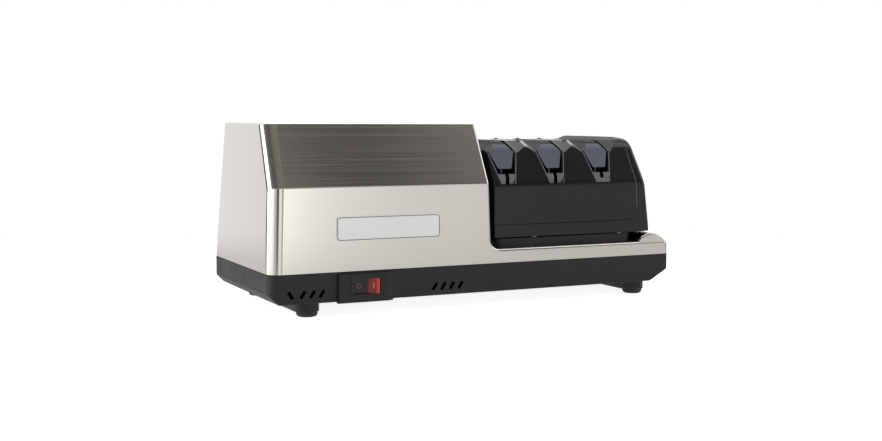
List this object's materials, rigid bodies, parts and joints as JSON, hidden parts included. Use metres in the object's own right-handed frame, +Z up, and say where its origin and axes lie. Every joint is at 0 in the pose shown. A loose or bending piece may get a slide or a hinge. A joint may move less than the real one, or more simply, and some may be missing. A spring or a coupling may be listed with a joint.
{
  "type": "electric knife sharpener",
  "caption": "Electric knife sharpener: a brushed stainless motor housing with a rocker switch beside a slide-off black module of guided blade slots over cone-faced abrasive discs.",
  "frame": {"origin": "on the standing surface, under the middle of the whole object's bounding box", "axes": "+X along the length from the motor towards the sharpening module, +Y from the front with the switch to the back, +Z up"},
  "size_m": [0.405, 0.1734, 0.1645],
  "materials": {
    "stainless": "brushed",
    "nameplate_metal": "satin",
    "base_plastic": "satin",
    "module_plastic": "gloss",
    "trough_plastic": "satin",
    "guide_plastic": "satin",
    "switch_plastic": "satin",
    "rocker_plastic": "gloss",
    "rubber_black": "matte",
    "zinc_screw": "satin",
    "mild_steel": "zinc plated",
    "laminations": "matte",
    "copper_wire": "enamelled",
    "cast_aluminium": "as cast",
    "bronze": "sintered",
    "shaft_steel": "ground",
    "spring_steel": "oiled",
    "fan_plastic": "matte",
    "coupling_plastic": "satin",
    "magnet": "matte",
    "disc_diamond": "diamond coated",
    "disc_strop": "matte"
  },
  "bodies": {
    "housing": {"stainless_cover": "stainless", "nameplate": "nameplate_metal", "base": "base_plastic", "foot_front_left": "rubber_black", "foot_front_right": "rubber_black", "foot_rear_left": "rubber_black", "foot_rear_right": "rubber_black", "foot_screws": "zinc_screw", "cover_screws": "zinc_screw", "tray_posts": "mild_steel", "cord_inlet": "rubber_black", "switch_body": "switch_plastic", "motor_bracket": "mild_steel", "motor_isolators": "rubber_black", "bracket_screws": "zinc_screw", "stator_stack": "laminations", "windings": "copper_wire", "rear_end_bell": "cast_aluminium", "front_end_bell": "cast_aluminium", "rear_motor_bush": "bronze", "front_motor_bush": "bronze", "tie_bolts": "zinc_screw", "drive_port_ring": "base_plastic", "docking_deck": "base_plastic", "module_rails": "mild_steel"},
    "rotor": {"motor_shaft": "shaft_steel", "rotor_core": "laminations", "cooling_fan": "fan_plastic", "drive_coupling": "coupling_plastic"},
    "power_rocker": {"rocker": "rocker_plastic"},
    "module": {"module_cover": "module_plastic", "module_base": "module_plastic", "module_screws": "spring_steel", "guide_magnets": "magnet", "left_disc_bush": "bronze", "right_disc_bush": "bronze", "stage_1_trough": "trough_plastic", "stage_2_trough": "trough_plastic", "stage_3_trough": "trough_plastic"},
    "disc_spindle": {"disc_shaft": "shaft_steel", "driven_coupling": "coupling_plastic", "shaft_clips": "spring_steel", "stage_1_disc_spring": "spring_steel", "stage_2_disc_spring": "spring_steel", "stage_3_disc_spring": "spring_steel"},
    "stage_1_guide": {"stage_1_guide_spring": "guide_plastic"},
    "stage_1_left_disc": {"stage_1_left_disc": "disc_diamond"},
    "stage_1_right_disc": {"stage_1_right_disc": "disc_diamond"},
    "stage_2_guide": {"stage_2_guide_spring": "guide_plastic"},
    "stage_2_left_disc": {"stage_2_left_disc": "disc_diamond"},
    "stage_2_right_disc": {"stage_2_right_disc": "disc_diamond"},
    "stage_3_guide": {"stage_3_guide_spring": "guide_plastic"},
    "stage_3_left_disc": {"stage_3_left_disc": "disc_strop"},
    "stage_3_right_disc": {"stage_3_right_disc": "disc_strop"}
  },
  "joints": [
    {"name": "rotor_spin", "type": "hinge", "parent": "housing", "child": "rotor", "pos_m": [-0.1205, -0.00188, 0.09], "axis": [1, 0, 0], "continuous": true},
    {"name": "power_rocker_tilt", "type": "hinge", "parent": "housing", "child": "power_rocker", "pos_m": [-0.1167, -0.08188, 0.0255], "axis": [0, 0, 1], "range_deg": [0, 16]},
    {"name": "module_slide", "type": "slide", "parent": "housing", "child": "module", "axis": [1, 0, 0], "range_m": [0, 0.15]},
    {"name": "disc_spindle_spin", "type": "hinge", "parent": "module", "child": "disc_spindle", "pos_m": [0.0262, -0.00188, 0.09], "axis": [1, 0, 0], "continuous": true},
    {"name": "stage_1_guide_rock", "type": "hinge", "parent": "module", "child": "stage_1_guide", "pos_m": [0.0262, -0.00188, 0.12365], "axis": [0, 1, 0], "range_deg": [-2, 2], "stiffness_Nm_per_rad": 4},
    {"name": "stage_1_left_disc_slide", "type": "slide", "parent": "disc_spindle", "child": "stage_1_left_disc", "axis": [1, 0, 0], "range_m": [0, 0.001], "stiffness_N_per_m": 3000, "springref_m": -0.001, "deforming": ["stage_1_disc_spring"]},
    {"name": "stage_1_right_disc_slide", "type": "slide", "parent": "disc_spindle", "child": "stage_1_right_disc", "axis": [-1, 0, 0], "range_m": [0, 0.001], "stiffness_N_per_m": 3000, "springref_m": -0.001, "deforming": ["stage_1_disc_spring"]},
    {"name": "stage_2_guide_rock", "type": "hinge", "parent": "module", "child": "stage_2_guide", "pos_m": [0.0772, -0.00188, 0.12365], "axis": [0, 1, 0], "range_deg": [-2, 2], "stiffness_Nm_per_rad": 4},
    {"name": "stage_2_left_disc_slide", "type": "slide", "parent": "disc_spindle", "child": "stage_2_left_disc", "axis": [1, 0, 0], "range_m": [0, 0.001], "stiffness_N_per_m": 3000, "springref_m": -0.001, "deforming": ["stage_2_disc_spring"]},
    {"name": "stage_2_right_disc_slide", "type": "slide", "parent": "disc_spindle", "child": "stage_2_right_disc", "axis": [-1, 0, 0], "range_m": [0, 0.001], "stiffness_N_per_m": 3000, "springref_m": -0.001, "deforming": ["stage_2_disc_spring"]},
    {"name": "stage_3_guide_rock", "type": "hinge", "parent": "module", "child": "stage_3_guide", "pos_m": [0.1282, -0.00188, 0.12365], "axis": [0, 1, 0], "range_deg": [-2, 2], "stiffness_Nm_per_rad": 4},
    {"name": "stage_3_left_disc_slide", "type": "slide", "parent": "disc_spindle", "child": "stage_3_left_disc", "axis": [1, 0, 0], "range_m": [0, 0.001], "stiffness_N_per_m": 3000, "springref_m": -0.001, "deforming": ["stage_3_disc_spring"]},
    {"name": "stage_3_right_disc_slide", "type": "slide", "parent": "disc_spindle", "child": "stage_3_right_disc", "axis": [-1, 0, 0], "range_m": [0, 0.001], "stiffness_N_per_m": 3000, "springref_m": -0.001, "deforming": ["stage_3_disc_spring"]}
  ],
  "couplings": [
    {"joint": "disc_spindle_spin", "follows": "rotor_spin", "ratio": 1}
  ]
}
